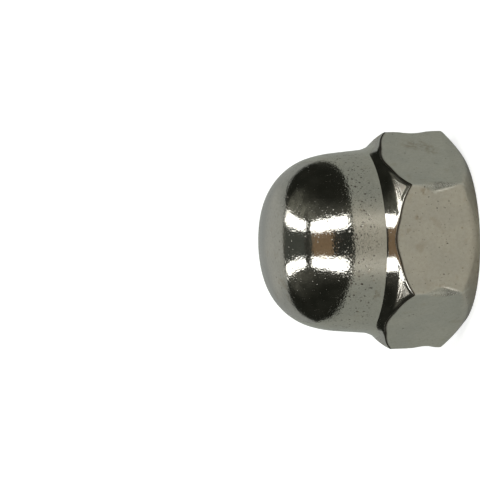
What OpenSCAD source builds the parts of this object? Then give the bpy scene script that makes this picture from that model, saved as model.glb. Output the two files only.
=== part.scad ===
// Domed cap nut: one solid piece, a hexagon whose far end is closed by a dome.
// It stands on its bearing face in the plane z = 0, with its axis on +Z.
// The origin is the centre of the bearing face. Dimensions are millimetres.

/* [Hexagon] */
// Width across the flats
across_flats = 17; // [16.6:0.1:17.6]
// Radius that rounds each corner of the hexagon
corner_round = 0.25; // [0.1:0.05:1]
// Lean of the rounded shoulder where it starts at the neck
shoulder_lean = 54; // [50:1:58]
// Lean of the shoulder past the hexagon's corners
shoulder_end_lean = 30; // [26:1:34]
// Radius of the rounded shoulder
shoulder_r = 4.4; // [4:0.1:4.8]

/* [Bearing side] */
// Diameter of the flat bearing face
face_d = 15.6; // [14.5:0.1:16]
// Height of the bearing-side chamfer at the corners
chamfer_h = 1.65; // [1:0.05:2]

/* [Dome] */
// Height of the whole nut
total_h = 18; // [17.5:0.1:19]
// Diameter of the dome at its foot, where the neck begins
foot_d = 16.47; // [16.4:0.01:16.6]
// Height of the dome's foot
foot_h = 8.74; // [8.5:0.02:8.8]
// Lean of the neck towards the axis at the dome's foot
neck_lean = 14.5; // [10:0.5:18]
// Lean of the neck where it turns into the shoulder
neck_end_lean = 30; // [26:1:34]
// Radius of the hollow neck
neck_r = 4.3; // [3.8:0.1:4.8]
// Lean of the dome's side towards the axis
dome_taper = 5; // [4:0.5:6]
// Radius of the dome's side where it starts to curve in
side_r = 11; // [10:0.5:12]
// Lean at which the side turns into the rounder crown
crown_lean = 16.4; // [14:0.2:20]
// Radius of the dome's rounded crown
crown_r = 5.84; // [5.2:0.02:6.2]
// Radius of the dome's flatter nose
nose_r = 14.35; // [13:0.05:16]

/* [Corner dents] */
// Height of the middle of the shallow dent in each corner
dent_z = 3.4; // [3:0.1:4.2]
// Length of each dent along its corner
dent_length = 2.9; // [2:0.1:4.2]
// Depth of each dent
dent_depth = 0.25; // [0.1:0.05:0.4]

/* [Thread and cavity] */
// Nominal diameter of the thread
thread_d = 10; // [8:1:10]
// Pitch of the thread
thread_pitch = 1; // [0.75:0.25:1.5]
// Depth below the bearing face at which the thread ends
thread_end = 7.8; // [7:0.1:8.5]
// Diameter of the bright bevel round the mouth
mouth_d = 12; // [11.6:0.1:12.4]
// Diameter of the countersink inside the bevel
sink_d = 11.64; // [11.2:0.02:11.8]
// Depth of the bevel
bevel_h = 0.15; // [0.1:0.05:0.3]
// Included angle of the countersink
sink_angle = 120; // [90:5:130]
// Diameter of the smooth cavity at its far end
cavity_d = 8.2; // [7:0.1:8.6]
// Depth of the cavity at the axis
cavity_depth = 11.4; // [10.5:0.1:12.5]
// Radius that rounds the cavity's far corner
cavity_round = 0.9; // [0.4:0.1:1.4]
// Height of the cavity's dished end, from its rim to its middle
dish_h = 0.4; // [0.2:0.1:0.8]

/* [Hidden] */
$fn = 96;
nickel = [0.66, 0.62, 0.53];
past = 1;        // how far a cutter runs past the surface that it opens
arc_steps = 12;  // straight steps in each rounded stretch of an outline

flat_r = across_flats / 2;
corner_r = (flat_r - corner_round) / cos(30) + corner_round;
outer_r = corner_r + past;
face_r = face_d / 2;
chamfer_slope = chamfer_h / (corner_r - face_r);

// The hollow neck is an arc about a centre outside the nut. The shoulder starts at its lower end.
foot = [foot_d / 2, foot_h];
neck_centre = foot + neck_r * [cos(neck_lean), sin(neck_lean)];
neck_end = neck_centre - neck_r * [cos(neck_end_lean), sin(neck_end_lean)];
shoulder_centre = neck_end - shoulder_r * [cos(shoulder_lean), sin(shoulder_lean)];
shoulder_end = shoulder_centre + shoulder_r * [cos(shoulder_end_lean), sin(shoulder_end_lean)];
shoulder_outer_z = shoulder_end[1] - (outer_r - shoulder_end[0]) / tan(shoulder_end_lean);

// The side's arc touches the straight side, the crown touches that arc, and the nose the crown.
side_normal = [cos(dome_taper), sin(dome_taper)];
side_inset = foot * side_normal - side_r;
nose_z = total_h - nose_r;
crown_step = (side_r - crown_r) * [cos(crown_lean), sin(crown_lean)];
crown_offset = side_inset * side_normal + crown_step - [0, nose_z];
side_along = [-sin(dome_taper), cos(dome_taper)];
crown_slack = pow(crown_offset * side_along, 2) - crown_offset * crown_offset + pow(nose_r - crown_r, 2);
side_rise = sqrt(crown_slack) - crown_offset * side_along;
side_centre = side_inset * side_normal + side_rise * side_along;
crown_centre = side_centre + crown_step;
crown_end = atan2(crown_centre[1] - nose_z, crown_centre[0]);

// The bore is the thread's crest diameter, that of a metric internal thread.
bore_r = thread_d / 2 - 0.54127 * thread_pitch;
sink_r = sink_d / 2;
sink_slope = 1 / tan(sink_angle / 2);
bore_start = bevel_h + (sink_r - bore_r) * sink_slope;
cavity_r = cavity_d / 2;
cavity_round_z = cavity_depth - dish_h - cavity_round;

// Radius of a cylinder that cuts a dent of the stated length and depth.
dent_cutter_r = (pow(dent_length / 2, 2) + pow(dent_depth, 2)) / (2 * dent_depth);
dent_width = 4;

// Points along an arc, from one angle to another.
function arc(centre, r, from, to) = [
    for (i = [0 : arc_steps])
        let (a = from + (to - from) * i / arc_steps)
        centre + r * [cos(a), sin(a)]
];

// Hexagon with rounded corners, one corner on each side along +X and -X.
module hexagon_outline() {
    polygon([
        for (corner = [0 : 60 : 300])
            for (turn = [-30 : 10 : 30])
                (corner_r - corner_round) * [cos(corner), sin(corner)]
                    + corner_round * [cos(corner + turn), sin(corner + turn)]
    ]);
}

// Turned outline: bearing face, chamfer, shoulder, hollow neck, side, crown and nose.
module turned_blank() {
    rotate_extrude()
        polygon(concat(
            [
                [0, 0],
                [face_r, 0],
                [outer_r, (outer_r - face_r) * chamfer_slope],
                [outer_r, shoulder_outer_z]
            ],
            arc(shoulder_centre, shoulder_r, shoulder_end_lean, shoulder_lean),
            [
                for (p = arc(neck_centre, neck_r, 180 + neck_end_lean, 180 + neck_lean))
                    if (p[1] > neck_end[1] + 0.01) p
            ],
            arc(side_centre, side_r, dome_taper, crown_lean),
            [
                for (p = arc(crown_centre, crown_r, crown_lean, crown_end))
                    if (p[1] > side_centre[1] + side_r * sin(crown_lean) + 0.01) p
            ],
            [
                for (p = arc([0, nose_z], nose_r, crown_end, 90))
                    if (p[0] < crown_centre[0] + crown_r * cos(crown_end) - 0.01 && p[0] > 0.01) p
            ],
            [[0, total_h]]
        ));
}

// One shallow dent across the corner that lies on +X.
module corner_dent() {
    translate([corner_r - dent_depth + dent_cutter_r, 0, dent_z])
        rotate([90, 0, 0])
            cylinder(r = dent_cutter_r, h = dent_width, center = true);
}

// Mouth bevel, countersink, bore of the thread and the smooth cavity behind it.
module cavity() {
    rotate_extrude()
        polygon(concat(
            [
                [0, -past],
                [mouth_d / 2, -past],
                [mouth_d / 2, 0],
                [sink_r, bevel_h],
                [bore_r, bore_start],
                [bore_r, thread_end]
            ],
            arc([cavity_r - cavity_round, cavity_round_z], cavity_round, 0, 90),
            [[0, cavity_depth]]
        ));
}

module cap_nut() {
    color(nickel)
        difference() {
            intersection() {
                linear_extrude(total_h + past) hexagon_outline();
                turned_blank();
            }
            for (corner = [0 : 60 : 300])
                rotate([0, 0, corner]) corner_dent();
            cavity();
        }
}

cap_nut();
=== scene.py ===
"""Looks of the domed cap nut: one turned and formed mesh with a cut thread, and worn nickel plate."""
import math

import bmesh
import bpy
import numpy as np
from mathutils import Matrix, Vector


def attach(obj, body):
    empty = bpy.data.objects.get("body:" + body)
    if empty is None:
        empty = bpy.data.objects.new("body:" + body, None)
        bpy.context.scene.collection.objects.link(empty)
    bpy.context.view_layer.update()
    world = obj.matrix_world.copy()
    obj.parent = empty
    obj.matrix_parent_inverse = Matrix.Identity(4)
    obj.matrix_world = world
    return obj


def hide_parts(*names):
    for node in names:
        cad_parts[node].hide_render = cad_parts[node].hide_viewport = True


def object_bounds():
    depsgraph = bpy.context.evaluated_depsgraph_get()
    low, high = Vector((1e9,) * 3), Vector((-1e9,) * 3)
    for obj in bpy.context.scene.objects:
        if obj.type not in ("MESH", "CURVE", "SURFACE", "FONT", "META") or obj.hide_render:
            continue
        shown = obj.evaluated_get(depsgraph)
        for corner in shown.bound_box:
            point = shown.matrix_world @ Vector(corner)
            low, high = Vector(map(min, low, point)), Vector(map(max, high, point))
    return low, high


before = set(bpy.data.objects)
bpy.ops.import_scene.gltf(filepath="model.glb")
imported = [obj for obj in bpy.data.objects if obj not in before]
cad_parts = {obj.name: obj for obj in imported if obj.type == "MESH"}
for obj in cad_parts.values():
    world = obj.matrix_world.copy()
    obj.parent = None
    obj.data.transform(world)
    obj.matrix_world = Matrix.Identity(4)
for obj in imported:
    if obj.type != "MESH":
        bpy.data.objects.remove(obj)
cad_low, cad_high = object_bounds()

MM = 0.001

# ---------------------------------------------------------------- sizes, in millimetres
DENT_LIP = 0.008  # how far a dent raises the metal round it
TOTAL_H = cad_high.z / MM
FLAT_R = cad_high.y / MM - DENT_LIP / 2  # leaves room for the raised metal
CORNER_ROUND = 0.32

FACE_R = 7.8
FACE_ASIDE = 0.12  # how far the bearing face's edge lies off the axis, towards the +X corner
CORNER_R = 9.78  # where the hexagon's corners lie
CHAMFER_H = 1.6  # how high the chamfer reaches at the radius of the corners, at the nut's back
CHAMFER_MORE_FRONT = 0.4  # how much higher it reaches at the front
CHAMFER_MORE_MINUS_X = 0.17  # how much higher it reaches towards -X
CHAMFER_LESS_PLUS_X = 0.45  # how much lower it stays towards +X

# leans are angles of the surface's normal above the level, radii are those of the outline's arcs
SHOULDER_END_LEAN = 30.0
SHOULDER_LEAN = 54.0
SHOULDER_R = 4.4
NECK_END_LEAN = 30.0
NECK_LEAN = 14.5
NECK_R = 4.3
FOOT = np.array([8.235, 8.74])  # radius and height at which the neck meets the dome's side
DOME_TAPER = 5.0
SIDE_R = 11.0
CROWN_LEAN = 16.4
CROWN_R = 5.84
NOSE_R = 14.35
NECK_FILLET = 0.35  # softens the turn from the neck into the shoulder
FOOT_FILLET = 0.25  # softens the turn from the dome's side into the neck
SHOULDER_FROM_R = 8.62  # the shoulder's streaks fade in from this radius outwards
SHOULDER_FADE = 0.12  # the stretch of radius over which they do

# each corner's dent, from the +X corner on towards +Y: heights along it, and how deep it is there
DENTS = [
    ((2.5, 2.9, 3.9, 4.8, 5.3), (0, 0.11, 0.19, 0.12, 0)),
    ((2.0, 2.5, 4.1, 4.7, 5.1), (0, 0.12, 0.22, 0.11, 0)),
    ((1.9, 2.2, 3.0, 3.9, 4.5), (0, 0.10, 0.19, 0.13, 0)),
    ((2.1, 2.6, 3.1, 3.8, 4.6), (0, 0.12, 0.20, 0.14, 0)),
    ((1.7, 2.3, 3.0, 3.6, 4.1, 4.6, 5.4), (0, 0.09, 0.19, 0.28, 0.31, 0.20, 0)),
    ((1.75, 2.3, 3.0, 3.8, 4.5, 4.9, 5.6), (0, 0.07, 0.15, 0.24, 0.32, 0.22, 0)),
]
DENT_BLUR = 0.3  # each dent's depth is averaged this far up and down its corner
DENT_SOFTNESS = 0.03  # rounds the dent's rim
DENT_LIP_WIDTH = 0.05  # half the width of the raised metal
DENT_RIM = 0.035  # half the width of the highlight painted along the rim
CORNER_HIGHLIGHT = 0.35  # how bright the highlight painted along the hexagon's corners is, standing for plate worn bright by rubbing
CORNER_HIGHLIGHT_WIDTH = 0.12  # how far to each side of the corner
MARKS_FROM_Z = 1.2  # the painted highlights and the dented places are marked between these heights
MARKS_TO_Z = 7
OUTSIDE_R = 7  # dents are pressed only into what is farther from the axis than this
CORNERS_R = 8  # the painted highlights and the dented places are marked only farther out than this

THREAD_R = 5.0
PITCH = 1.0
BORE_R = THREAD_R - 0.54127 * PITCH
THREAD_END = 7.8
RUNOUT = 0.8  # the stretch over which the thread fades out at its deep end
MOUTH_R = 6.0
SINK_R = 5.82
BEVEL_H = 0.15
SINK_SLOPE = 1 / math.tan(math.radians(60))
CONE_FOOT_R = 5.05  # the countersink turns into the thread just outside the thread's roots
CONE_FOOT_Z = BEVEL_H + (SINK_R - CONE_FOOT_R) * SINK_SLOPE
CAVITY_R = 4.1
CAVITY_DEPTH = 11.4
CAVITY_ROUND = 0.9
DISH_H = 0.4

# how far each worn edge's rounding reaches back from the sharp edge
FACE_EDGE_WEAR = 0.13
CHAMFER_EDGE_WEAR = 0.42  # over the flats
CHAMFER_CORNER_WEAR = 0.20  # at the hexagon's corners
CORNER_REACH = 14  # degrees from a corner over which one wear turns into the other
SHOULDER_EDGE_WEAR = 0.36
FLAT_EDGE_WEAR = 0.13

COLUMNS_PER_SIDE = 50
COLUMN_CROWDING = 0.9  # how much closer they lie at the corners than over the flats; 0 is evenly
INNER_PLATED_ROWS = 7  # the mouth's bevel is plated like the outside


def cosd(angle):
    return math.cos(math.radians(angle))


def sind(angle):
    return math.sin(math.radians(angle))


# ---------------------------------------------------------------- outline of the turned outside
def arc(centre, radius, start, end, steps):
    """Points of an arc in the half section, as rows of (radius from the axis, height)."""
    angles = np.radians(np.linspace(start, end, steps))
    return np.stack([centre[0] + radius * np.cos(angles), centre[1] + radius * np.sin(angles)], 1)


def unit(angle):
    return np.array([cosd(angle), sind(angle)])


def fillet(before, corner, after, radius):
    """Points of the arc that rounds the corner between two straight stretches."""
    first = (before - corner) / np.linalg.norm(before - corner)
    second = (after - corner) / np.linalg.norm(after - corner)
    half = math.acos(np.clip(first @ second, -1, 1)) / 2
    setback = radius / math.tan(half)
    t = np.linspace(0, 1, 13)[:, None]
    start = corner + setback * first
    end = corner + setback * second
    return (1 - t) ** 2 * start + 2 * t * (1 - t) * corner + t ** 2 * end


def upper_outline():
    """Dense outline from outside the shoulder over the neck and dome to the nose's middle.

    Also the indices at which the foot's fillet, the straight side, the curved side, the crown
    and the nose start.
    """
    neck_centre = FOOT + NECK_R * unit(NECK_LEAN)
    neck_end = neck_centre - NECK_R * unit(NECK_END_LEAN)
    shoulder_centre = neck_end - SHOULDER_R * unit(SHOULDER_LEAN)

    # the side's arc touches the straight side; the crown touches that arc, and the nose the crown
    normal = unit(DOME_TAPER)
    along = np.array([-sind(DOME_TAPER), cosd(DOME_TAPER)])
    nose = np.array([0.0, TOTAL_H - NOSE_R])
    step = (SIDE_R - CROWN_R) * unit(CROWN_LEAN)
    inset = (FOOT @ normal - SIDE_R) * normal
    offset = inset + step - nose
    slack = (offset @ along) ** 2 - offset @ offset + (NOSE_R - CROWN_R) ** 2
    side_centre = inset + (math.sqrt(slack) - offset @ along) * along
    crown_centre = side_centre + step
    crown_end = math.degrees(math.atan2(crown_centre[1] - nose[1], crown_centre[0]))

    curve = arc(shoulder_centre, SHOULDER_R, SHOULDER_END_LEAN, SHOULDER_LEAN - 1, 80)
    down = np.array([sind(SHOULDER_END_LEAN), -cosd(SHOULDER_END_LEAN)])
    shoulder = np.concatenate([curve[0] + np.linspace(1, 0, 10)[:-1, None] * down, curve])
    neck = arc(neck_centre, NECK_R, 180 + NECK_END_LEAN, 180 + NECK_LEAN, 80)
    joint = fillet(shoulder[-1], neck_end, neck[2], NECK_FILLET)
    curved = arc(side_centre, SIDE_R, DOME_TAPER, CROWN_LEAN, 80)
    side = FOOT + np.linspace(0.04, 1, 40)[:-1, None] * (curved[0] - FOOT)
    foot = fillet(neck[-3], FOOT, side[2], FOOT_FILLET)
    crown = arc(crown_centre, CROWN_R, CROWN_LEAN, crown_end, 200)[1:]
    cap = arc(nose, NOSE_R, crown_end, 90, 80)[1:]
    pieces = [shoulder[:-1], joint, neck[6:-3], foot, side, curved, crown, cap]
    starts = np.cumsum([0] + [len(piece) for piece in pieces])
    return np.concatenate(pieces), starts[3:8]


class Outline:
    """A line in the half section, read by the distance run along it."""

    def __init__(self, points):
        self.points = points
        steps = np.linalg.norm(np.diff(points, axis=0), axis=1)
        self.run = np.concatenate([[0], np.cumsum(steps)])

    def at(self, run):
        """The points at these distances, with (radius, height) on the last axis."""
        return np.stack([np.interp(run, self.run, self.points[:, i]) for i in (0, 1)], -1)

    def run_at_radius(self, radius):
        return np.interp(-radius, -self.points[:, 0], self.run)


# ---------------------------------------------------------------- the mesh's columns and rows
def column_azimuths():
    """Azimuths round the axis, close together at the hexagon's corners and wide over its flats."""
    share = np.arange(COLUMNS_PER_SIDE) / COLUMNS_PER_SIDE
    share = share - COLUMN_CROWDING * np.sin(2 * np.pi * share) / (2 * np.pi)
    return np.radians((60 * np.arange(6)[:, None] + 60 * share[None]).ravel())


def hexagon_radius(azimuth):
    """Distance from the axis to the hexagon with rounded corners, one corner on +X."""
    off_corner = np.abs((azimuth + np.pi / 6) % (np.pi / 3) - np.pi / 6)
    centre = (FLAT_R - CORNER_ROUND) / cosd(30)
    flat = FLAT_R / np.cos(np.pi / 6 - off_corner)
    inside = np.clip(CORNER_ROUND ** 2 - (centre * np.sin(off_corner)) ** 2, 0, None)
    rounded = centre * np.cos(off_corner) + np.sqrt(inside)
    on_round = centre * np.sin(off_corner) < CORNER_ROUND * 0.5
    return np.where(on_round, rounded, flat)


def straight(start, end, steps):
    """Rows from start to end, both left out; start and end are (columns, 2) or a single point."""
    share = np.linspace(0, 1, steps + 2)[1:-1, None, None]
    return start[None] + share * (end - start)[None]


def rounded(before, sharp, after, steps):
    """Rows of a worn edge: a smooth curve that leaves the sharp edge on its outside."""
    t = np.linspace(0, 1, steps)[:, None, None]
    return (1 - t) ** 2 * before[None] + 2 * t * (1 - t) * sharp[None] + t ** 2 * after[None]


def towards(start, end, distance):
    """The point at a distance from start on the way to end."""
    way = end - start
    return start + way * (distance / np.linalg.norm(way, axis=-1, keepdims=True))


def ring(radius, height, azimuth):
    return np.stack([np.full_like(azimuth, radius), np.full_like(azimuth, height)], -1)


def thread_radius(turn):
    """Radius of the internal thread against the turn, a whole number at the start of each crest."""
    share = turn % 1
    knots = [0, 0.25, 0.5625, 0.6875, 1]
    depth = [0, 0, 1, 1, 0]
    return BORE_R + (THREAD_R - BORE_R) * np.interp(share, knots, depth)


def thread_rows(azimuth):
    """Rows of the cut thread from its deep end to the countersink. They climb with the helix."""
    pattern = np.array([0, 0.03, 0.22, 0.26, 0.41, 0.54, 0.59, 0.66, 0.71, 0.85, 0.97])
    turns = np.arange(math.floor(CONE_FOOT_Z) - 1, math.ceil(THREAD_END) + 1)
    turn = (turns[:, None] + pattern[None]).ravel()[::-1, None]
    height = np.clip(PITCH * (turn + azimuth[None] / (2 * np.pi)), CONE_FOOT_Z, THREAD_END)
    radius = thread_radius(height / PITCH - azimuth[None] / (2 * np.pi))
    fade = np.clip((THREAD_END - height) / RUNOUT, 0, 1)
    radius = BORE_R + (radius - BORE_R) * fade
    cone = SINK_R - (height - BEVEL_H) / SINK_SLOPE
    return np.stack([np.maximum(radius, cone), height], -1)


def inside_rows(azimuth):
    """Rows from the middle of the cavity's dished end to where the flat bearing face starts.

    Also that last row itself, from which the outside goes on.
    """
    round_z = CAVITY_DEPTH - DISH_H - CAVITY_ROUND
    corner = arc((CAVITY_R - CAVITY_ROUND, round_z), CAVITY_ROUND, 90, 0, 10)
    dish_radius = np.array([0.0, 0.4, 0.9, 1.4, 1.9, 2.4, 2.9])
    dish = np.stack([dish_radius, CAVITY_DEPTH - DISH_H * (dish_radius / corner[0, 0]) ** 2], 1)
    wall = np.linspace(corner[-1], [BORE_R, THREAD_END], 10)[1:]
    rows = [ring(r, z, azimuth)[None] for r, z in np.concatenate([dish, corner, wall])]
    rows.append(thread_rows(azimuth))
    cone_foot = ring(CONE_FOOT_R, CONE_FOOT_Z, azimuth)
    sink = ring(SINK_R, BEVEL_H, azimuth)
    mouth = ring(MOUTH_R, 0, azimuth)
    cone_top = towards(sink, cone_foot, 0.04)
    bevel_foot = towards(sink, mouth, 0.04)
    bevel_top = towards(mouth, sink, 0.05)
    face_start = mouth + np.array([0.05, 0])
    rows += [straight(cone_foot, cone_top, 4), rounded(cone_top, sink, bevel_foot, 3)]
    rows += [straight(bevel_foot, bevel_top, 1), rounded(bevel_top, mouth, face_start, 4)]
    return np.concatenate(rows), face_start


def outside_rows(azimuth, face_start):
    """Rows from the bearing face over the chamfer, the flats, the shoulder and the dome.

    Also which of them are the hexagon's upper edge, and which are the shoulder.
    """
    hexagon = hexagon_radius(azimuth)
    points, starts = upper_outline()
    upper = Outline(points)
    face_r = FACE_R + FACE_ASIDE * np.cos(azimuth)
    face_edge = np.stack([face_r, 0 * azimuth], -1)
    chamfer_h = CHAMFER_H + CHAMFER_MORE_FRONT * np.clip(-np.sin(azimuth), 0, 1)
    chamfer_h = chamfer_h - CHAMFER_LESS_PLUS_X * np.clip(np.cos(azimuth), 0, 1)
    chamfer_h = chamfer_h + CHAMFER_MORE_MINUS_X * np.clip(-np.cos(azimuth), 0, 1)
    chamfer_z = (hexagon - face_r) * chamfer_h / (CORNER_R - face_r)
    chamfer_edge = np.stack([hexagon, chamfer_z], -1)
    shoulder_run = upper.run_at_radius(hexagon)
    shoulder_edge = upper.at(shoulder_run)

    face_end = face_edge - np.array([FACE_EDGE_WEAR, 0])
    chamfer_start = towards(face_edge, chamfer_edge, FACE_EDGE_WEAR)
    off_corner = np.abs((azimuth + np.pi / 6) % (np.pi / 3) - np.pi / 6)
    over_flat = np.clip(np.degrees(off_corner) / CORNER_REACH, 0, 1) ** 2
    wear = CHAMFER_CORNER_WEAR + (CHAMFER_EDGE_WEAR - CHAMFER_CORNER_WEAR) * over_flat
    chamfer_end = towards(chamfer_edge, face_edge, wear[:, None])
    flat_start = chamfer_edge + np.stack([0 * wear, wear], -1)
    flat_end = shoulder_edge - np.array([0, FLAT_EDGE_WEAR])
    after_edge = shoulder_run + SHOULDER_EDGE_WEAR

    foot_run, side_run, curved_run, crown_run, cap_run = upper.run[starts]
    share = np.linspace(0, 1, 24)[1:, None]
    shoulder_runs = after_edge[None] + share * (foot_run - after_edge[None])
    dome_runs = np.concatenate([
        np.linspace(foot_run, side_run, 6)[1:],
        np.linspace(side_run, curved_run, 10)[1:],
        np.linspace(curved_run, crown_run, 16)[1:],
        np.linspace(crown_run, cap_run, 40)[1:],
        np.linspace(cap_run, upper.run[-1] - 0.3, 13)[1:],
        [upper.run[-1]],
    ])

    rows = [
        straight(face_start, face_end, 6),
        rounded(face_end, face_edge, chamfer_start, 5),
        straight(chamfer_start, chamfer_end, 5),
        rounded(chamfer_end, chamfer_edge, flat_start, 8),
        straight(flat_start, flat_end, 44),
        rounded(flat_end, shoulder_edge, upper.at(after_edge), 10),
        upper.at(shoulder_runs),
        upper.at(np.repeat(dome_runs[:, None], len(azimuth), 1)),
    ]
    ends = np.cumsum([len(piece) for piece in rows])
    return np.concatenate(rows), (ends[4], ends[4] + 4), (ends[5], ends[6])


def press_dents(radius, height, azimuth):
    """Shallow dents struck across the corners, with a little metal raised round each.

    Gives the new radii, where a highlight is painted for plate worn bright on the dents' rims and along
    the corners, and where the metal is dented.
    """
    number = np.round(azimuth / (np.pi / 3)).astype(int)
    off_corner = azimuth - number * (np.pi / 3)
    heights = height[:, :, None] + np.linspace(-DENT_BLUR, DENT_BLUR, 7)
    depth = np.zeros_like(radius)
    rise = np.zeros_like(radius)
    for corner, (levels, depths) in enumerate(DENTS):
        here = np.interp(heights, levels, depths)
        depth = np.where(number % 6 == corner, here.mean(-1), depth)
        rise = np.where(number % 6 == corner, here[..., -1] - here[..., 0], rise)
    reach = radius * np.cos(off_corner)
    limit = CORNER_R - depth + np.where(depth > 0, 0, 1.0)
    over = DENT_SOFTNESS * np.logaddexp(0, (reach - limit) / DENT_SOFTNESS)
    lip = DENT_LIP * np.exp(-((reach - limit) / DENT_LIP_WIDTH + 0.8) ** 2) * np.clip(15 * depth, 0, 1)
    # painted highlight on the rim, standing for plate worn bright: strong where the dent deepens away
    # from the bearing face, on the side nearer the front, faint elsewhere
    front = np.sin(azimuth) < np.sin(number * np.pi / 3)
    shine = np.where(front, np.clip(rise / 0.06, 0.1, 1), 0.15)
    rim = shine * np.exp(-((reach - limit) / DENT_RIM + 0.6) ** 2) * np.clip(8 * depth - 0.5, 0, 1)
    # painted highlight along each corner, standing for plate worn bright by rubbing
    corner = CORNER_HIGHLIGHT * np.exp(-(radius * np.sin(off_corner) / CORNER_HIGHLIGHT_WIDTH) ** 2)
    level = (height > MARKS_FROM_Z) & (height < MARKS_TO_Z)
    rubbed_and_highlight = np.maximum(rim, corner) * level
    dented = np.clip(over / 0.06, 0, 1) * level
    return radius - (over - lip) / np.cos(off_corner), rubbed_and_highlight, dented


def nut_mesh():
    """The whole nut as one closed grid of rows and columns, in metres."""
    azimuth = column_azimuths()
    inner, face_start = inside_rows(azimuth)
    outer, edge_rows, shoulder_rows = outside_rows(azimuth, face_start)
    section = np.concatenate([inner, outer])
    radius, height = section[..., 0], section[..., 1]
    pressed, rubbed_and_highlight, dented = press_dents(radius, height, azimuth[None])
    radius = np.where(radius > OUTSIDE_R, pressed, radius)
    rubbed_and_highlight = np.where(radius > CORNERS_R, rubbed_and_highlight, 0)
    dented = np.where(radius > CORNERS_R, dented, 0)
    points = np.stack([radius * np.cos(azimuth), radius * np.sin(azimuth), height], -1) * MM
    rows, columns = radius.shape
    index = np.arange(rows * columns).reshape(rows, columns)
    beside = np.roll(index, -1, axis=1)
    quads = np.stack([index[:-1], beside[:-1], beside[1:], index[1:]], -1).reshape(-1, 4)
    mesh = bpy.data.meshes.new("cap_nut_surface")
    mesh.from_pydata(points.reshape(-1, 3).tolist(), [], quads.tolist())

    # whether a point is on the hexagon's upper edge, and how far it is out on the shoulder
    edge = np.zeros((rows, columns))
    first, last = len(inner) + np.array(edge_rows)
    edge[first:last] = 1
    shoulder = np.zeros((rows, columns))
    first, last = len(inner) + np.array(shoulder_rows)
    shoulder[first:last] = np.clip((radius[first:last] - SHOULDER_FROM_R) / SHOULDER_FADE, 0, 1)
    looks = {"hexagon_edge": edge, "shoulder": shoulder, "rubbed_and_highlight": rubbed_and_highlight, "dented": dented}
    for name, values in looks.items():
        attribute = mesh.attributes.new(name, "FLOAT", "POINT")
        attribute.data.foreach_set("value", values.ravel().astype(np.float32))

    inside = np.repeat(np.arange(rows - 1) < len(inner) - INNER_PLATED_ROWS, columns)
    mesh.polygons.foreach_set("material_index", inside.astype(np.int32))
    return mesh


def weld(mesh):
    """Joins the rows that lie on each other where the thread starts and ends, and closes both poles."""
    bm = bmesh.new()
    bm.from_mesh(mesh)
    bmesh.ops.remove_doubles(bm, verts=bm.verts, dist=1e-7)
    bmesh.ops.recalc_face_normals(bm, faces=bm.faces)
    open_edges = sum(1 for edge in bm.edges if not edge.is_manifold)
    triangles = sum(len(face.verts) - 2 for face in bm.faces)
    print("cap nut surface: open edges", open_edges, "triangles", triangles)
    bm.to_mesh(mesh)
    bm.free()
    mesh.polygons.foreach_set("use_smooth", [True] * len(mesh.polygons))


nut_surface = nut_mesh()
weld(nut_surface)
nut = bpy.data.objects.new("cap_nut_body", nut_surface)
bpy.context.collection.objects.link(nut)


# ---------------------------------------------------------------- nodes
class Nodes:
    """Adds nodes to a tree. Their inputs are numbers, colours or the outputs of other nodes."""

    def __init__(self, tree):
        self.tree = tree

    def feed(self, socket, value):
        if isinstance(value, bpy.types.NodeSocket):
            self.tree.links.new(value, socket)
        else:
            socket.default_value = value

    def math(self, operation, *values):
        node = self.tree.nodes.new("ShaderNodeMath")
        node.operation = operation
        for socket, value in zip(node.inputs, values):
            self.feed(socket, value)
        return node.outputs[0]

    def times(self, a, b):
        return self.math("MULTIPLY", a, b)

    def plus(self, a, b):
        return self.math("ADD", a, b)

    def minus(self, a, b):
        return self.math("SUBTRACT", a, b)

    def vector(self, operation, *values):
        node = self.tree.nodes.new("ShaderNodeVectorMath")
        node.operation = operation
        for socket, value in zip(node.inputs, values):
            self.feed(socket, value)
        return node.outputs["Value" if operation == "LENGTH" else "Vector"]

    def split(self, place):
        """The x, y and z of a place or direction."""
        node = self.tree.nodes.new("ShaderNodeSeparateXYZ")
        self.feed(node.inputs[0], place)
        return node.outputs

    def ramp(self, value, low, high, start=0.0, end=1.0, smooth=True):
        """Goes from start to end as the value goes from low to high, and stays level outside."""
        node = self.tree.nodes.new("ShaderNodeMapRange")
        node.interpolation_type = "SMOOTHSTEP" if smooth else "LINEAR"
        self.feed(node.inputs["Value"], value)
        node.inputs["From Min"].default_value = low
        node.inputs["From Max"].default_value = high
        node.inputs["To Min"].default_value = start
        node.inputs["To Max"].default_value = end
        return node.outputs["Result"]

    def blend(self, factor, a, b):
        """Colour a where the factor is 0 and b where it is 1."""
        node = self.tree.nodes.new("ShaderNodeMix")
        node.data_type = "RGBA"
        self.feed(node.inputs["Factor"], factor)
        for socket, colour in ((node.inputs[6], a), (node.inputs[7], b)):
            self.feed(socket, (*colour, 1) if isinstance(colour, tuple) else colour)
        return node.outputs[2]

    def noise(self, place, scale, detail):
        node = self.tree.nodes.new("ShaderNodeTexNoise")
        self.feed(node.inputs["Vector"], place)
        node.inputs["Scale"].default_value = scale
        node.inputs["Detail"].default_value = detail
        return node.outputs[0]


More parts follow.
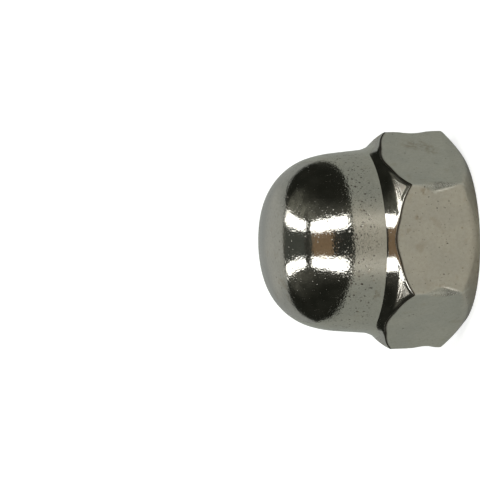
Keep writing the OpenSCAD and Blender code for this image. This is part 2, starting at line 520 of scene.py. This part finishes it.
# ---------------------------------------------------------------- materials
class Surface(Nodes):
    """Builds one metal's nodes. Lengths in its patterns are millimetres."""

    def __init__(self, name):
        self.material = bpy.data.materials.new(name)
        self.material.use_nodes = True
        super().__init__(self.material.node_tree)
        self.shader = self.tree.nodes["Principled BSDF"]
        self.shader.inputs["Metallic"].default_value = 1
        coordinates = self.tree.nodes.new("ShaderNodeTexCoord")
        self.place = self.vector("MULTIPLY", coordinates.outputs["Object"], (1 / MM, 1 / MM, 1 / MM))
        x, y, self.z = self.split(self.place)
        self.radius = self.math("SQRT", self.plus(self.times(x, x), self.times(y, y)))

    def shifted(self, place, shift):
        """The place moved, so that patterns of one kind don't coincide."""
        return self.vector("ADD", place, (shift, 2 * shift, 3 * shift))

    def patches(self, size, detail=2.0, place=None, shift=0.0):
        """Smooth noise about 0.5 whose patches are about this size."""
        place = self.shifted(self.place if place is None else place, shift)
        return self.noise(place, 1 / size, detail)

    def specks(self, spacing, size, share, shift=0.0):
        """Round specks of this size, one in each cell of a share of the cells. 1 in their middle."""
        cells = self.tree.nodes.new("ShaderNodeTexVoronoi")
        cells.inputs["Scale"].default_value = 1 / spacing
        self.feed(cells.inputs["Vector"], self.shifted(self.place, shift))
        near = self.ramp(cells.outputs["Distance"], 0.4 * size / spacing, size / spacing, 1, 0)
        pick = self.tree.nodes.new("ShaderNodeSeparateColor")
        self.feed(pick.inputs[0], cells.outputs["Color"])
        return self.times(near, self.math("LESS_THAN", pick.outputs[0], share))

    def spot(self, centre, size):
        """A soft patch round a place, 1 in its middle. Centre and size are (x, y, z)."""
        away = self.vector("DIVIDE", self.vector("SUBTRACT", self.place, centre), size)
        return self.ramp(self.vector("LENGTH", away), 0.3, 1.0, 1, 0)

    def attribute(self, name):
        """What the mesh says of a point, such as how far it is out on the shoulder."""
        node = self.tree.nodes.new("ShaderNodeAttribute")
        node.attribute_name = name
        return node.outputs["Fac"]

    def finish(self, colour, roughness, height):
        """Height is in millimetres, outward."""
        bump = self.tree.nodes.new("ShaderNodeBump")
        bump.inputs["Strength"].default_value = 1
        bump.inputs["Distance"].default_value = MM
        self.feed(bump.inputs["Height"], height)
        self.feed(self.shader.inputs["Normal"], bump.outputs[0])
        self.feed(self.shader.inputs["Base Color"], colour)
        self.feed(self.shader.inputs["Roughness"], roughness)
        return self.material


# stained places, in millimetres: centre and reach
STAINS = [
    ((8.0, -3.1, 3.0), (1.2, 1.2, 1.0)),
    ((1.9, -8.5, 5.9), (0.5, 0.5, 0.5)),
    ((0.8, -8.5, 6.8), (0.4, 0.4, 0.35)),
    ((-4.7, -6.7, 9.4), (1.0, 1.0, 0.45)),
    ((-4.3, -8.5, 3.9), (0.5, 0.5, 0.9)),
    ((4.3, -8.5, 5.2), (0.5, 0.5, 0.7)),
    ((8.5, -2.2, 4.2), (1.0, 1.1, 1.8)),
]
SHOULDER_STRETCH = 7.0  # the shoulder's streaks run round the axis and are this much longer than wide


def worn_nickel():
    """Bright nickel plate over a slightly rippled surface, with pits, specks, stains, a darkened upper
    hexagon edge, and highlights painted on the dents' rims and the corners.
    """
    metal = Surface("worn_nickel")
    cloud = metal.patches(2.2, 3.0, shift=1.0)
    ripple = metal.patches(0.9)
    peel = metal.patches(0.30, shift=3.0)
    fine_peel = metal.patches(0.15, 1.0, shift=13.0)
    grain = metal.patches(0.10, 1.0, shift=7.0)

    # the crown and the hexagon are rippled most, and the dome's side has a belt of small pits
    crown = metal.ramp(metal.z, 10.9, 12.2, 0.35, 1.0)
    hexagon = metal.ramp(metal.z, 6.4, 8.2, 1.0, 0.0)
    belt = metal.times(metal.ramp(metal.z, 8.9, 10.6), metal.ramp(metal.z, 11.6, 13.4, 1, 0))
    crowd = metal.ramp(metal.patches(1.6, shift=11.0), 0.42, 0.62)
    pits = metal.times(metal.specks(0.45, 0.09, 0.5), crowd)
    side_pits = metal.specks(0.36, 0.12, 0.5, shift=15.0)
    side_pits = metal.math("MAXIMUM", side_pits, metal.specks(0.2, 0.05, 0.4, shift=17.0))
    small_pits = metal.specks(0.26, 0.05, 0.3, shift=5.0)
    small_pits = metal.math("MAXIMUM", small_pits, metal.times(side_pits, belt))
    flecks = metal.specks(0.9, 0.11, 0.25, shift=9.0)

    stains = metal.ramp(metal.patches(1.3, 4.0, shift=21.0), 0.58, 0.74)
    tarnish = metal.ramp(metal.patches(0.24, 5.0, shift=33.0), 0.36, 0.64, 0.0, 0.22)
    stained = 0
    for centre, size in STAINS:
        stained = metal.plus(stained, metal.spot(centre, size))
    blotches = metal.times(stained, metal.ramp(metal.patches(0.35, 3.0, shift=23.0), 0.40, 0.60))

    shoulder = metal.attribute("shoulder")
    along = metal.vector("MULTIPLY", metal.place, (1, 1, SHOULDER_STRETCH))
    streaks = metal.ramp(metal.patches(0.7, place=along, shift=2.0), 0.35, 0.65)
    # the hexagon's upper edge is darkened and roughened, a little less in places
    dark_edge = metal.times(metal.attribute("hexagon_edge"), metal.ramp(cloud, 0.2, 0.5, 0.75, 1.0))

    # the bearing face is turned, and pitted in places
    face = metal.math("LESS_THAN", metal.z, 0.03)
    turning = metal.patches(0.12, place=metal.radius, shift=4.0)
    face_crowd = metal.times(face, metal.ramp(metal.patches(3.5, shift=31.0), 0.38, 0.58))
    face_pits = metal.times(face_crowd, metal.specks(0.28, 0.11, 0.75, shift=29.0))

    colour = metal.blend(metal.ramp(cloud, 0.35, 0.65), (0.610, 0.595, 0.532), (0.655, 0.633, 0.558))
    colour = metal.blend(tarnish, colour, (0.44, 0.41, 0.35))
    colour = metal.blend(metal.times(stains, 0.24), colour, (0.40, 0.31, 0.20))
    colour = metal.blend(metal.times(blotches, 0.50), colour, (0.37, 0.29, 0.20))
    colour = metal.blend(metal.times(shoulder, metal.times(streaks, 0.3)), colour, (0.45, 0.36, 0.26))
    colour = metal.blend(metal.times(pits, 0.85), colour, (0.09, 0.075, 0.05))
    colour = metal.blend(metal.times(small_pits, 0.85), colour, (0.10, 0.08, 0.06))
    colour = metal.blend(metal.times(face_pits, 0.7), colour, (0.14, 0.11, 0.08))
    colour = metal.blend(metal.times(flecks, 0.6), colour, (0.33, 0.24, 0.14))
    # painted highlight on the dents' rims and along the corners, standing for plate worn bright by
    # rubbing
    colour = metal.blend(metal.attribute("rubbed_and_highlight"), colour, (0.93, 0.91, 0.85))
    colour = metal.blend(dark_edge, colour, (0.05, 0.042, 0.03))

    roughness = metal.ramp(grain, 0.3, 0.7, 0.06, 0.12)
    outer = metal.ramp(metal.z, 6.95, 7.45, 0.34, 0.0)
    for mask, extra in (
        (shoulder, metal.ramp(streaks, 0, 1, 0.10, 0.16)),
        (shoulder, outer),
        (metal.attribute("dented"), 0.16),
        (metal.math("MAXIMUM", pits, small_pits), 0.25),
        (dark_edge, 0.45),
        (stains, 0.06),
        (face, 0.08),
    ):
        roughness = metal.plus(roughness, metal.times(mask, extra))

    height = metal.times(ripple, 0.007)
    height = metal.plus(height, metal.times(peel, 0.008))
    height = metal.plus(height, metal.times(fine_peel, 0.006))
    height = metal.plus(height, metal.times(grain, 0.0015))
    height = metal.times(height, metal.math("MAXIMUM", crown, metal.times(hexagon, 0.6)))
    for mask, rise in (
        (pits, -0.008),
        (small_pits, metal.ramp(metal.z, 11, 12.5, -0.0025, -0.007)),
        (metal.times(shoulder, streaks), 0.010),
        (metal.times(face, turning), 0.006),
        (face_pits, -0.02),
    ):
        height = metal.plus(height, metal.times(mask, rise))
    return metal.finish(colour, roughness, height)


def dull_thread():
    """Thinly plated, oily steel of the thread and the cavity, darker in the thread's roots."""
    metal = Surface("dull_thread")
    cloud = metal.patches(1.4, 3.0)
    grain = metal.patches(0.10, shift=3.0)
    pits = metal.specks(0.35, 0.09, 0.4)
    root = metal.ramp(metal.radius, BORE_R + 0.15, THREAD_R - 0.1)
    root = metal.times(root, metal.ramp(metal.z, 0.6, 0.9))
    # darker in the thread's roots, from a little inside the mouth
    dark_roots = metal.times(root, metal.ramp(cloud, 0.3, 0.6, 0.35, 0.9))
    colour = metal.blend(metal.ramp(cloud, 0.35, 0.65), (0.36, 0.32, 0.25), (0.50, 0.46, 0.375))
    colour = metal.blend(dark_roots, colour, (0.10, 0.075, 0.05))
    colour = metal.blend(metal.times(pits, 0.7), colour, (0.12, 0.09, 0.06))
    roughness = metal.ramp(grain, 0.3, 0.7, 0.26, 0.42)
    roughness = metal.plus(roughness, metal.times(dark_roots, 0.2))
    height = metal.times(grain, 0.004)
    height = metal.plus(height, metal.times(cloud, 0.01))
    height = metal.plus(height, metal.times(pits, -0.01))
    return metal.finish(colour, roughness, height)


nut.data.materials.append(worn_nickel())
nut.data.materials.append(dull_thread())
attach(nut, "root")
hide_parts("cap_nut")


# ---------------------------------------------------------------- stage
FLOOR_FRONT = -0.165
FLOOR_BACK = 0.6
FLOOR_LEFT = -0.6
FLOOR_RIGHT = 0.11
FLOOR_DROP = 0.02 * MM  # how far the sheet lies below the nut's bearing face
HOLE_R = 7.1 * MM  # lets light in to the mouth and the bearing face; the nut hides it from above
RING_R = 30 * MM  # a circle of points in the sheet, between its hole and its outer edge
HOLE_STEP = 7.5  # degrees between the points round the hole


def floor_mesh():
    """A sheet with a round hole under the nut."""
    turns = np.radians(np.arange(0, 360, HOLE_STEP))
    spokes = np.stack([np.cos(turns), np.sin(turns)], 1)
    limit_x = np.where(spokes[:, 0] > 0, FLOOR_RIGHT, -FLOOR_LEFT)
    limit_y = np.where(spokes[:, 1] > 0, FLOOR_BACK, -FLOOR_FRONT)
    away = np.maximum(np.abs(spokes), 1e-6)
    reach = np.minimum(limit_x / away[:, 0], limit_y / away[:, 1])
    flat = np.concatenate([HOLE_R * spokes, RING_R * spokes, reach[:, None] * spokes])
    points = np.concatenate([flat, np.zeros((len(flat), 1))], 1)
    count = len(turns)
    faces = []
    for circle in (0, 1):
        for i in range(count):
            j = (i + 1) % count
            inner, outer = circle * count, (circle + 1) * count
            faces.append((inner + i, outer + i, outer + j, inner + j))
    mesh = bpy.data.meshes.new("floor")
    mesh.from_pydata(points.tolist(), [], faces)
    return mesh


def floor_material():
    """Pale matt sheet with painted shade beside and behind the nut and a painted glow right beside it,
    white to the camera but for the nut's shadow, and clear from below.
    """
    material = bpy.data.materials.new("floor")
    material.use_nodes = True
    tree = material.node_tree
    nodes = Nodes(tree)
    shader = tree.nodes["Principled BSDF"]
    shader.inputs["Roughness"].default_value = 0.62
    shader.inputs["Specular IOR Level"].default_value = 0.12
    shader.inputs["Emission Color"].default_value = (1, 1, 1, 1)

    # painted shade: the sheet is a little darker and cooler beside and behind the nut than in front of
    # it
    place = tree.nodes.new("ShaderNodeTexCoord").outputs["Object"]
    x, y, _ = nodes.split(place)
    turn = nodes.math("ARCTAN2", nodes.math("ABSOLUTE", x), nodes.times(y, -1))
    beside = nodes.ramp(turn, math.radians(15), math.radians(65))
    colour = nodes.blend(beside, (0.52, 0.52, 0.485), (0.385, 0.415, 0.405))
    nodes.feed(shader.inputs["Base Color"], colour)

    # painted light: to glossy rays the sheet glows faintly right beside the nut, so that metal shows it
    # pale where the nut's own shadow lies
    path = tree.nodes.new("ShaderNodeLightPath")
    close = nodes.ramp(nodes.vector("LENGTH", place), 9.5 * MM, 13 * MM, 0.06, 0)
    pale = nodes.times(nodes.times(close, beside), path.outputs["Is Glossy Ray"])
    white = nodes.times(path.outputs["Is Camera Ray"], 0.8)
    nodes.feed(shader.inputs["Emission Strength"], nodes.plus(pale, white))

    clear = tree.nodes.new("ShaderNodeBsdfTransparent")
    geometry = tree.nodes.new("ShaderNodeNewGeometry")
    mix = tree.nodes.new("ShaderNodeMixShader")
    nodes.feed(mix.inputs[0], geometry.outputs["Backfacing"])
    nodes.feed(mix.inputs[1], shader.outputs[0])
    nodes.feed(mix.inputs[2], clear.outputs[0])
    nodes.feed(tree.nodes["Material Output"].inputs["Surface"], mix.outputs[0])
    return material


sheet = bpy.data.objects.new("floor", floor_mesh())
sheet.location.z = -FLOOR_DROP
sheet.data.materials.append(floor_material())
bpy.context.collection.objects.link(sheet)


class Sky(Nodes):
    """The studio round the nut, painted on the world by direction.

    Two angles name a direction: side, its tilt out of the plane through the nut's axis and the
    front, and roll, its turn in that plane from the front over the top to the back.
    """

    def __init__(self, colour):
        self.world = bpy.data.worlds.new("studio")
        self.world.use_nodes = True
        super().__init__(self.world.node_tree)
        coordinates = self.tree.nodes.new("ShaderNodeTexCoord")
        self.direction = coordinates.outputs["Generated"]
        self.x, self.y, self.z = self.split(self.direction)
        side = self.math("DEGREES", self.math("ARCSINE", self.x))
        self.aside = self.math("ABSOLUTE", side)
        self.roll = self.math("DEGREES", self.math("ARCTAN2", self.z, self.times(self.y, -1)))
        self.up = self.math("DEGREES", self.math("ARCSINE", self.z))
        self.colour = colour

    def step(self, value, soft):
        """1 where the value is over 0, with a smooth rise across the soft width."""
        return self.ramp(value, -soft, soft)

    def band(self, value, start, end):
        """1 between two pairs of values, with a smooth rise over the first and fall over the second."""
        return self.times(self.ramp(value, *start), self.ramp(value, *end, 1, 0))

    def mottle(self, scale, low, high):
        """Soft random patches whose strength runs from low to high."""
        return self.ramp(self.noise(self.direction, scale, 3), 0.35, 0.65, low, high)

    def lamp(self, rolls, outer, inner, rounding):
        """Mask of a long patch, whose outer and inner edge are given at each end's roll.

        Its ends are rounded over a stretch of roll. It lies on both sides, and the caller picks one.
        """
        outer_edge = self.ramp(self.roll, *rolls, *outer, smooth=False)
        inner_edge = self.ramp(self.roll, *rolls, *inner, smooth=False)
        half = self.times(self.minus(outer_edge, inner_edge), 0.5)
        middle = self.times(self.plus(outer_edge, inner_edge), 0.5)
        across = self.math("DIVIDE", self.minus(self.aside, middle), half)
        start = self.math("DIVIDE", self.minus(rolls[0] + rounding, self.roll), rounding)
        end = self.math("DIVIDE", self.minus(self.roll, rolls[1] - rounding), rounding)
        along = self.math("MAXIMUM", self.math("MAXIMUM", start, end), 0)
        across = self.math("POWER", self.math("ABSOLUTE", across), 4)
        reach = self.plus(across, self.math("POWER", along, 3))
        return self.ramp(reach, 0.85, 1.15, 1, 0)

    def paint(self, mask, colour):
        """Lays a colour over what is there, where the mask is 1."""
        self.colour = self.blend(mask, self.colour, colour)

    def finish(self):
        """White to the camera and as painted to everything else, with highlights clipped in metal."""
        path = self.tree.nodes.new("ShaderNodeLightPath")
        clipped = self.vector("MINIMUM", self.colour, (3.3, 3.35, 3.4))
        shown = self.blend(path.outputs["Is Glossy Ray"], self.colour, clipped)
        shown = self.blend(path.outputs["Is Camera Ray"], shown, (1.0, 1.0, 1.0))
        background = self.tree.nodes["Background"]
        self.feed(background.inputs["Color"], shown)
        background.inputs["Strength"].default_value = 1
        bpy.context.scene.world = self.world


LAMP_LIGHT = (5.4, 5.25, 5.0)
# on the right and left, front and rear: rolls of the lamp's two ends, its outer and its inner edge
# at each end, and the stretch of roll over which its ends are rounded
LAMPS = [
    ("right", (1, 58.0), (35, 24.5), (18, 12), 10),
    ("left", (2.5, 58.3), (40.5, 29.5), (22, 17), 10),
    ("right", (66.5, 113.5), (22.5, 25), (13.5, 13.5), 3),
    ("left", (69.4, 115.5), (25.4, 24.2), (16.5, 14.2), 3),
]


def backdrop_mask(sky):
    """1 on the pale backdrop: a rectangle behind the nut, seen from the nut."""
    behind = sky.step(sky.y, 0.02)
    y = sky.math("MAXIMUM", sky.y, 0.001)
    across = sky.math("DIVIDE", sky.math("ABSOLUTE", sky.x), y)
    height = sky.math("DIVIDE", sky.z, y)
    rectangle = sky.times(sky.ramp(across, 0.84, 0.98, 1, 0), sky.ramp(height, 1.72, 1.98, 1, 0))
    return sky.times(behind, rectangle)


def paint_sky():
    sky = Sky((0.015, 0.016, 0.013))
    right = sky.step(sky.x, 0.01)
    sides = {"right": right, "left": sky.minus(1, right)}

    backdrop = backdrop_mask(sky)
    sky.paint(backdrop, (0.33, 0.345, 0.34))
    bright = sky.times(sky.ramp(sky.aside, 14, 30, 1, 0), sky.ramp(sky.roll, 150, 168, 1, 0))
    sky.paint(sky.times(backdrop, bright), (0.425, 0.435, 0.42))

    # a faint haze outside the rear lamps, and mottling all over the dark
    haze = sky.times(sky.ramp(sky.aside, 26, 62, 1, 0), sky.ramp(sky.roll, 10, 90, 0.5, 1))
    haze = sky.times(haze, sky.ramp(sky.roll, 112, 122, 1, 0))
    haze = sky.times(haze, sky.mottle(9.0, 0.35, 1.0))
    sky.paint(sky.times(haze, sides["right"]), (0.27, 0.275, 0.24))
    sky.paint(sky.times(haze, sides["left"]), (0.125, 0.125, 0.11))
    sky.paint(sky.times(sky.minus(1, backdrop), sky.mottle(4.0, 0.0, 0.35)), (0.035, 0.036, 0.031))

    # the duller field between the lamps, brown at the front and dark below that
    between = sky.ramp(sky.aside, 17, 22, 1, 0)
    sky.paint(sky.times(between, sky.band(sky.roll, (54, 60), (110, 118))), (0.068, 0.074, 0.067))
    sky.paint(sky.times(between, sky.band(sky.roll, (16, 18.5), (51.5, 55.5))), (0.226, 0.157, 0.098))
    sky.paint(sky.times(between, sky.band(sky.roll, (-8, -4), (15.5, 18.5))), (0.028, 0.03, 0.027))

    # the gap between the front and the rear lamps
    gap = sky.times(sky.band(sky.roll, (57, 61), (66, 70)), sky.ramp(sky.aside, 24, 30, 1, 0))
    sky.paint(gap, (0.04, 0.04, 0.035))
    for side, rolls, outer, inner, rounding in LAMPS:
        sky.paint(sky.times(sides[side], sky.lamp(rolls, outer, inner, rounding)), LAMP_LIGHT)

    # a pale room under the sheet, for the mouth and the bearing face
    sky.paint(sky.ramp(sky.up, -26, -18, 1, 0), (0.35, 0.35, 0.33))
    sky.finish()


paint_sky()

# ---------------------------------------------------------------- camera
CAMERA_DISTANCE = 598 * MM
CAMERA_ELEVATION = 15.9
CAMERA_ROLL = -1.6
VIEW_WIDTH = 43.31 * MM  # what the picture spans at the nut
AIM_UP_AXIS = 19.53 * MM  # the picture's centre lies this far past the bearing face
AIM_ASIDE = -0.12 * MM

camera_data = bpy.data.cameras.new("camera")
camera_data.sensor_width = 36
camera_data.lens = 36 * CAMERA_DISTANCE / VIEW_WIDTH
camera = bpy.data.objects.new("camera", camera_data)
bpy.context.collection.objects.link(camera)
bpy.context.scene.camera = camera

place = CAMERA_DISTANCE * Vector((0, -cosd(CAMERA_ELEVATION), sind(CAMERA_ELEVATION)))
forward = -place.normalized()
upright = Vector((1, 0, 0))
rightward = forward.cross(upright)
turned_right = rightward * cosd(CAMERA_ROLL) + upright * sind(CAMERA_ROLL)
turned_up = upright * cosd(CAMERA_ROLL) - rightward * sind(CAMERA_ROLL)
aim = -turned_right * AIM_UP_AXIS + turned_up * AIM_ASIDE
back_axis = (place - aim).normalized()
up_axis = (turned_up - back_axis * turned_up.dot(back_axis)).normalized()
right_axis = up_axis.cross(back_axis)
camera.location = place
camera.rotation_mode = "QUATERNION"
camera.rotation_quaternion = Matrix((right_axis, up_axis, back_axis)).transposed().to_quaternion()

bpy.context.scene.view_settings.view_transform = "Standard"
